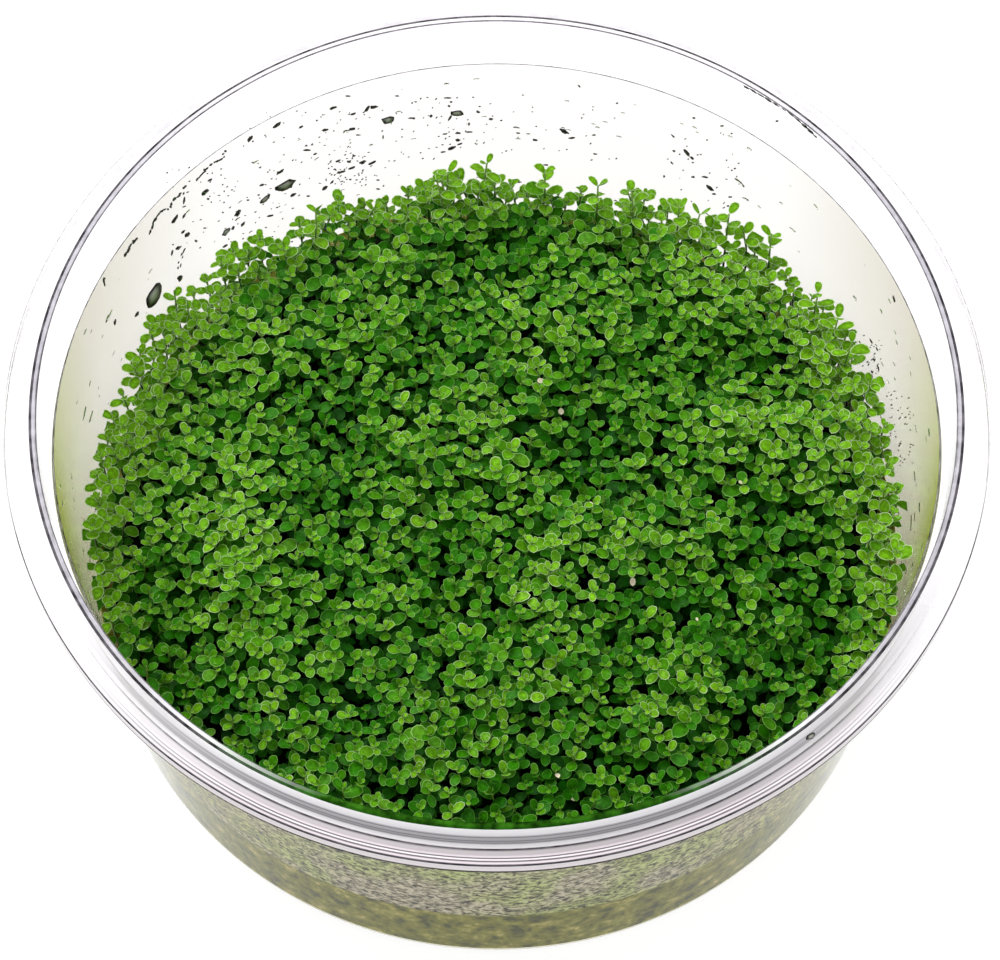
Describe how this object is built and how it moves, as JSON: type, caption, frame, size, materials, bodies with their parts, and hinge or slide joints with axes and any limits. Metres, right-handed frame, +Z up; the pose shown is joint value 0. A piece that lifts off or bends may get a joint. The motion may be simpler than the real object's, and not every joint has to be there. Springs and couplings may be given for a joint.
{
  "type": "dwarf baby tears in a culture cup",
  "caption": "Dwarf baby tears, a dense carpet of tiny round leaves on nutrient gel in a clear, open, round culture cup.",
  "frame": {"origin": "middle of the face that the cup rests on, under its foot ring", "axes": "+Z up, out of the cup's open mouth; -Y is the side that faces the viewer"},
  "size_m": [0.105, 0.105, 0.048],
  "materials": {
    "clear_cup": "gloss",
    "gel": "satin",
    "foliage": "satin"
  },
  "bodies": {
    "root": {"cup": "clear_cup", "nutrient_gel": "gel", "plant_01": "foliage", "plant_02": "foliage", "plant_03": "foliage", "plant_04": "foliage", "plant_05": "foliage", "plant_06": "foliage", "plant_07": "foliage", "plant_08": "foliage", "plant_09": "foliage", "plant_10": "foliage", "plant_11": "foliage", "plant_12": "foliage", "plant_13": "foliage", "plant_14": "foliage", "plant_15": "foliage", "plant_16": "foliage", "plant_17": "foliage", "plant_18": "foliage", "plant_19": "foliage"}
  },
  "joints": []
}
